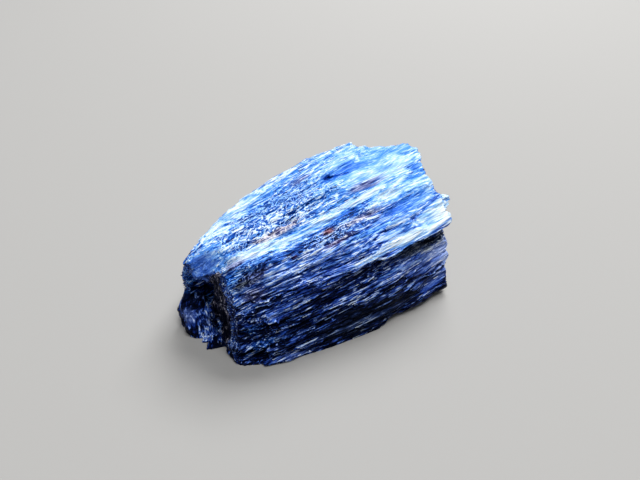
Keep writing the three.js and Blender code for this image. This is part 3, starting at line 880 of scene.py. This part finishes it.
# %% The tree that lays splinters
def splinter_tree():
    tree = bpy.data.node_groups.new("lay_splinters", "GeometryNodeTree")
    for name, kind in (
        ("Geometry", "Geometry"), ("Per square mm", "Float"), ("Smallest", "Vector"),
        ("Largest", "Vector"), ("Turn", "Float"), ("Sink", "Float"), ("Darkest", "Float"),
        ("Palest", "Float"), ("Pale are rare", "Float"), ("Seed", "Int"), ("Material", "Material"),
    ):
        tree.interface.new_socket(name, in_out="INPUT", socket_type="NodeSocket" + kind)
    tree.interface.new_socket("Geometry", in_out="OUTPUT", socket_type="NodeSocketGeometry")
    add = functools.partial(add_node, tree)
    given = add("NodeGroupInput").outputs
    stored = {}
    for name, kind in (("cover", "FLOAT"), ("grain", "FLOAT_VECTOR"), ("room", "FLOAT")):
        stored[name] = add("GeometryNodeInputNamedAttribute", (name,), data_type=kind)

    # where the splinters lie: more where the stored cover is 1, and sunk a little into the skin
    thick = add("ShaderNodeMath", (stored["cover"], given["Per square mm"]), operation="MULTIPLY")
    inputs = {"Mesh": given["Geometry"], "Density": thick, "Seed": given["Seed"]}
    spread = add("GeometryNodeDistributePointsOnFaces", inputs)
    depth = add("FunctionNodeRandomValue", {2: 0.4, 3: 1.0, "Seed": 1}, data_type="FLOAT").outputs[1]
    for factor in (given["Sink"], -1.0):
        depth = add("ShaderNodeMath", (depth, factor), operation="MULTIPLY")
    inputs = {0: spread.outputs["Normal"], "Scale": depth}
    inwards = add("ShaderNodeVectorMath", inputs, operation="SCALE")
    seated = add("GeometryNodeSetPosition", {"Geometry": spread, "Offset": inwards})

    # few are pale and most are dark, so the pale ones stand out as single bright threads
    rank = add("FunctionNodeRandomValue", {2: 0.0, 3: 1.0, "Seed": 2}, data_type="FLOAT").outputs[1]
    rank = add("ShaderNodeMath", (rank, given["Pale are rare"]), operation="POWER")
    contrast = add("ShaderNodeMath", (given["Palest"], given["Darkest"]), operation="SUBTRACT")
    shade = add("ShaderNodeMath", (rank, contrast, given["Darkest"]), operation="MULTIPLY_ADD")
    inputs = {"Geometry": seated, "Name": "shade", "Value": shade}
    shaded = add("GeometryNodeStoreNamedAttribute", inputs, data_type="FLOAT", domain="POINT")

    # how each lies: along the fibres, then turned by a random small angle and rolled by any angle
    aligned = add("FunctionNodeAlignRotationToVector", {"Vector": stored["grain"]}, axis="Z")
    back = add("ShaderNodeMath", (given["Turn"], -1.0), operation="MULTIPLY")
    least = add("ShaderNodeCombineXYZ", (back, back, 0.0))
    most = add("ShaderNodeCombineXYZ", (given["Turn"], given["Turn"], math.tau))
    turn = add("FunctionNodeRandomValue", {0: least, 1: most, "Seed": 3}, data_type="FLOAT_VECTOR")
    turn = add("FunctionNodeEulerToRotation", (turn,))
    turned = add("FunctionNodeRotateRotation", (aligned, turn), rotation_space="LOCAL")

    # how large each is: no longer than the room it has there
    inputs = {0: given["Smallest"], 1: given["Largest"], "Seed": 4}
    size = add("FunctionNodeRandomValue", inputs, data_type="FLOAT_VECTOR")
    across, up, along = add("ShaderNodeSeparateXYZ", (size,)).outputs
    along = add("ShaderNodeMath", (along, stored["room"]), operation="MINIMUM")
    size = add("ShaderNodeCombineXYZ", (across, up, along))

    # a splinter is three-sided and blunt, 1 long and 1 wide before it is scaled, with its middle at 0
    inputs = {"Vertices": 3, "Radius Top": 0.12, "Radius Bottom": 0.5, "Depth": 1.0}
    splinter = add("GeometryNodeMeshCone", inputs)
    splinter = add("GeometryNodeTransform", {"Geometry": splinter, "Translation": (0, 0, -0.5)})
    inputs = {"Points": shaded, "Instance": splinter, "Rotation": turned, "Scale": size}
    splinters = add("GeometryNodeInstanceOnPoints", inputs)
    joined = add("GeometryNodeRealizeInstances", {"Geometry": splinters})
    flat = add("GeometryNodeSetShadeSmooth", {"Geometry": joined, "Shade Smooth": False})
    finished = add("GeometryNodeSetMaterial", {"Geometry": flat, "Material": given["Material"]})
    add("NodeGroupOutput", (finished,))
    return tree


lay_splinters = splinter_tree()
print("the tree has", len(lay_splinters.nodes), "nodes")

# %% Where the splinters go
LAYERS = {
    # sizes are across, up and along in mm; the turn is in radians; shades are added to the tone
    "top_fibres": {
        "Per square mm": 80.0, "Smallest": (0.03, 0.03, 0.16), "Largest": (0.05, 0.05, 0.45), "Turn": 0.12,
        "Sink": 0.02, "Darkest": -0.15, "Palest": 0.3, "Pale are rare": 1.5, "Seed": 1,
    },
    "front_fibres": {
        "Per square mm": 45.0, "Smallest": (0.02, 0.02, 0.5), "Largest": (0.05, 0.05, 2.2), "Turn": 0.03,
        "Sink": 0.014, "Darkest": -0.15, "Palest": 0.55, "Pale are rare": 3.0, "Seed": 2,
    },
    "back_fibres": {
        "Per square mm": 45.0, "Smallest": (0.02, 0.02, 0.5), "Largest": (0.05, 0.05, 2.2), "Turn": 0.03,
        "Sink": 0.014, "Darkest": -0.15, "Palest": 0.45, "Pale are rare": 2.5, "Seed": 3,
    },
    "snapped_fibres": {
        "Per square mm": 90.0, "Smallest": (0.04, 0.04, 0.1), "Largest": (0.09, 0.09, 0.24), "Turn": 0.2,
        "Sink": 0.03, "Darkest": -0.15, "Palest": 0.3, "Pale are rare": 2.0, "Seed": 4,
    },
    "slivers": {
        "Per square mm": 1.6, "Smallest": (0.12, 0.07, 0.9), "Largest": (0.2, 0.1, 3.2), "Turn": 0.03,
        "Sink": 0.035, "Darkest": -0.1, "Palest": 0.15, "Pale are rare": 1.0, "Seed": 5,
    },
}
REACH = 0.05  # mm that a splinter may stick out
FARTHEST = 2.0  # mm that the room is measured along a fibre,
UNDER_SKIN = 0.08  # this far inside the chip
LOBE_ROOM = 0.1  # mm of room on the lobe, whose fibres are short
THINNED = {"thin_end": 0.8, "felt": 0.5, "calm": 0.9}  # how much of the cover goes there
SWAY = {"size": (1.1, 0.5, 0.5), "height": 0.16, "seed": 45}  # how far splinters turn off their fibre
MATTING = {"size": (0.4, 0.25, 0.25), "height": 0.7, "seed": 46}  # and how far more on the felt
SWAY_WAY = (0, 1, 0.3)  # mostly sideways, and up a little
SLIVERS_START = (0.3, 0.6)  # Z over which slivers begin,
SPLINTERS_START = (0.06, 0.2)  # and other splinters


def room_along(mesh, points, normals, ways):
    """How long a splinter can be at each point before it hangs over an end of the chip."""
    tree = BVHTree.FromPolygons(points.tolist(), [face.vertices for face in mesh.polygons])
    inside = points - normals * UNDER_SKIN
    room = np.empty(len(points))
    for i, (start, way) in enumerate(zip(inside.tolist(), ways.tolist())):
        start, way = Vector(start), Vector(way)
        gaps = [tree.ray_cast(start, direction, FARTHEST)[3] for direction in (way, -way)]
        room[i] = min(FARTHEST if gap is None else gap for gap in gaps)
    room[on_lobe(points)] = LOBE_ROOM
    ends = np.empty(len(mesh.edges) * 2, np.int32)
    mesh.edges.foreach_get("vertices", ends)
    one, other = ends.reshape(-1, 2).T
    for _ in range(2):  # a point has no more room than its neighbours, nor than theirs
        before = room.copy()
        np.minimum.at(room, one, before[other])
        np.minimum.at(room, other, before[one])
    return 2 * (room + REACH)


def cover_of(name):
    """Where a layer lies, from 0 to 1: each side of the chip has its own."""
    end, top, z = end_share, top_share, skin_points[:, 2]
    cover = {
        "snapped_fibres": end * (1 - THINNED["thin_end"] * (skin_points[:, 0] < THIN_SIDE)),
        "top_fibres": (1 - end) * top * (1 - THINNED["felt"] * felt_share),
        "front_fibres": (1 - end) * front_share,
        "back_fibres": (1 - end) * (1 - top) * (1 - front_share),
        "slivers": (1 - end) * (1 - felt_share) * smooth_step(z, *SLIVERS_START),
    }
    clear_of_floor = smooth_step(z, *SPLINTERS_START)
    return cover[name] * (1 - under_share) * clear_of_floor * (1 - THINNED["calm"] * shares["calm"])


def splinters_of(layer, skin):
    """The mesh of one layer of splinters, laid on the skin."""
    store(skin.data, "cover", cover_of(layer))
    modifier = skin.modifiers.new("splinters", "NODES")
    modifier.node_group = lay_splinters
    sockets = {s.name: s.identifier for s in lay_splinters.interface.items_tree if s.in_out == "INPUT"}
    for name, value in {**LAYERS[layer], "Material": fibre_blue}.items():
        modifier[sockets[name]] = value
    mesh = frozen(skin, layer)
    skin.modifiers.remove(modifier)
    points = points_of(mesh)
    points[:, 2] = np.maximum(points[:, 2], 0)
    move_points(mesh, points)
    if layer == "slivers":
        # a thin splinter has one colour, and a wide one shows the threads it is made of
        store(mesh, "fibre", wavy_course(points))
    return mesh


mass = add_object("fibrous_mass", mass_mesh)
mass_mesh.materials.clear()
mass_mesh.materials.append(fibre_blue)
sway = waves(skin_course, SWAY) + felt_share * waves(skin_course, MATTING)
grain = fibre_direction(skin_points) + sway[:, None] * SWAY_WAY
# a splinter lies flat on a split face, and stands out of a snapped one
leaning = np.sum(grain * skin_normals, axis=1) * (1 - end_share)
grain -= leaning[:, None] * skin_normals
store(mass_mesh, "grain", grain)
store(mass_mesh, "room", room_along(mass_mesh, points_of(mass_mesh), skin_normals, grain))
fibres = []
for layer in LAYERS:
    mesh = splinters_of(layer, mass)
    fibres.append(add_object(layer, mesh))
    print(layer, "has", triangles_in(mesh), "triangles")

# %% Turn everything to metres and fasten it to the frame
for piece in (mass, *fibres):
    move_points(piece.data, points_of(piece.data) * MM)
    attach(piece, "root")
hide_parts("dumortierite_cluster")
print("fastened", 1 + len(fibres), "pieces")

# %% [markdown]
# ## Floor and light
# A plain floor and soft lamps show the chip as it is. Silky fibres need a strong light from behind and
# one from above, so that the top shines and the front falls into its own shade. A weak lamp in front
# keeps that shade from going black.

# %% Floor
FLOOR_SIDE = 0.6  # metres


def floor_material():
    """Matt paper: it has no shine, so it leaves the eye on the chip."""
    material = bpy.data.materials.new("matt_paper")
    material.use_nodes = True
    shader = material.node_tree.nodes["Principled BSDF"]
    shader.inputs["Base Color"].default_value = linear("#a9a8a6")
    shader.inputs["Roughness"].default_value = 0.9
    return material


half = FLOOR_SIDE / 2
corners = [(-half, -half, 0), (half, -half, 0), (half, half, 0), (-half, half, 0)]
floor_mesh = bpy.data.meshes.new("floor")
floor_mesh.from_pydata(corners, [], [(0, 1, 2, 3)])
floor_mesh.materials.append(floor_material())
floor = add_object("floor", floor_mesh)
print("the floor is", FLOOR_SIDE, "m wide")

# %% Lamps
LAMP_AIM = Vector((0, 0, 3)) * MM
WORLD_LIGHT = 0.1  # weak, so that the lamps shape the chip
LAMPS = [
    # name; azimuth and elevation in degrees; distance and side in metres; power in watts
    ("window_behind", 128, 52, 0.25, 0.14, 0.72),
    ("top_light", 0, 80, 0.25, 0.1, 0.34),
    ("front_fill", -60, 30, 0.3, 0.25, 0.065),
]
for name, azimuth, elevation, distance, side, power in LAMPS:
    lamp = bpy.data.lights.new(name, "AREA")
    lamp.size = side
    lamp.energy = power
    turn = look_from(math.radians(azimuth), math.radians(elevation))
    place(name, lamp, LAMP_AIM, distance, turn)
world = bpy.data.worlds.new("studio")
world.use_nodes = True
world.node_tree.nodes["Background"].inputs["Color"].default_value = linear("#e8ecf2")
world.node_tree.nodes["Background"].inputs["Strength"].default_value = WORLD_LIGHT
bpy.context.scene.world = world
bpy.context.scene.view_settings.view_transform = "Standard"
print("lit by", [name for name, *_ in LAMPS])
